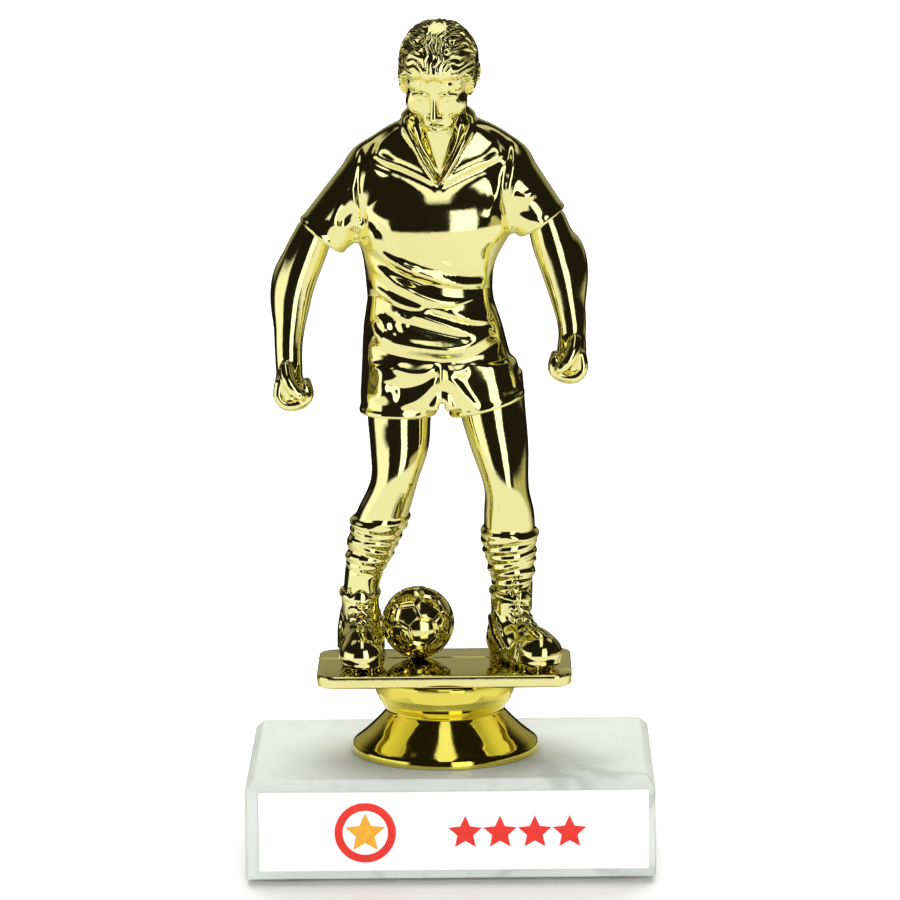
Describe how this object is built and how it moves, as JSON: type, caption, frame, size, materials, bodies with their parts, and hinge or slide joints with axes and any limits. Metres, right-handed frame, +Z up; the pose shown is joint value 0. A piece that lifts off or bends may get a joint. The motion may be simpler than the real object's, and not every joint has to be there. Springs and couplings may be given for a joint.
{
  "type": "figure trophy",
  "caption": "Award with a gold footballer and ball on a platform and flared riser, clamped to a white marble block with a printed plate on its front.",
  "frame": {"origin": "middle of the base's footprint, on the surface that the foot pads stand on", "axes": "+Z up, the name plate and the player face -Y, +X to the right seen from the front"},
  "size_m": [0.0762, 0.0514, 0.1582],
  "materials": {
    "marble": "polished white marble with faint grey veins",
    "plate": "white printed plate, satin",
    "adhesive": "double-sided tape",
    "pad": "soft dark foam",
    "zinc_steel": "zinc plated",
    "deep_gold": "mirror-bright gold metallised plastic, deeper yellow",
    "pale_gold": "mirror-bright gold metallised plastic"
  },
  "bodies": {
    "base": {"marble_base": "marble", "name_plate": "plate", "plate_adhesive": "adhesive", "foot_pad_front_left": "pad", "foot_pad_front_right": "pad", "foot_pad_rear_left": "pad", "foot_pad_rear_right": "pad"},
    "figure": {"threaded_rod": "zinc_steel", "base_washer": "zinc_steel", "base_nut": "zinc_steel", "riser": "deep_gold", "insert_nut": "zinc_steel", "platform_front": "pale_gold", "platform_rear": "pale_gold", "player_front_shell": "pale_gold", "player_rear_shell": "pale_gold", "ball_front_shell": "pale_gold", "ball_rear_shell": "pale_gold"}
  },
  "joints": [
    {"name": "figure_turn", "type": "hinge", "parent": "base", "child": "figure", "pos_m": [-0.001, 0, 0], "axis": [0, 0, 1], "continuous": true}
  ]
}
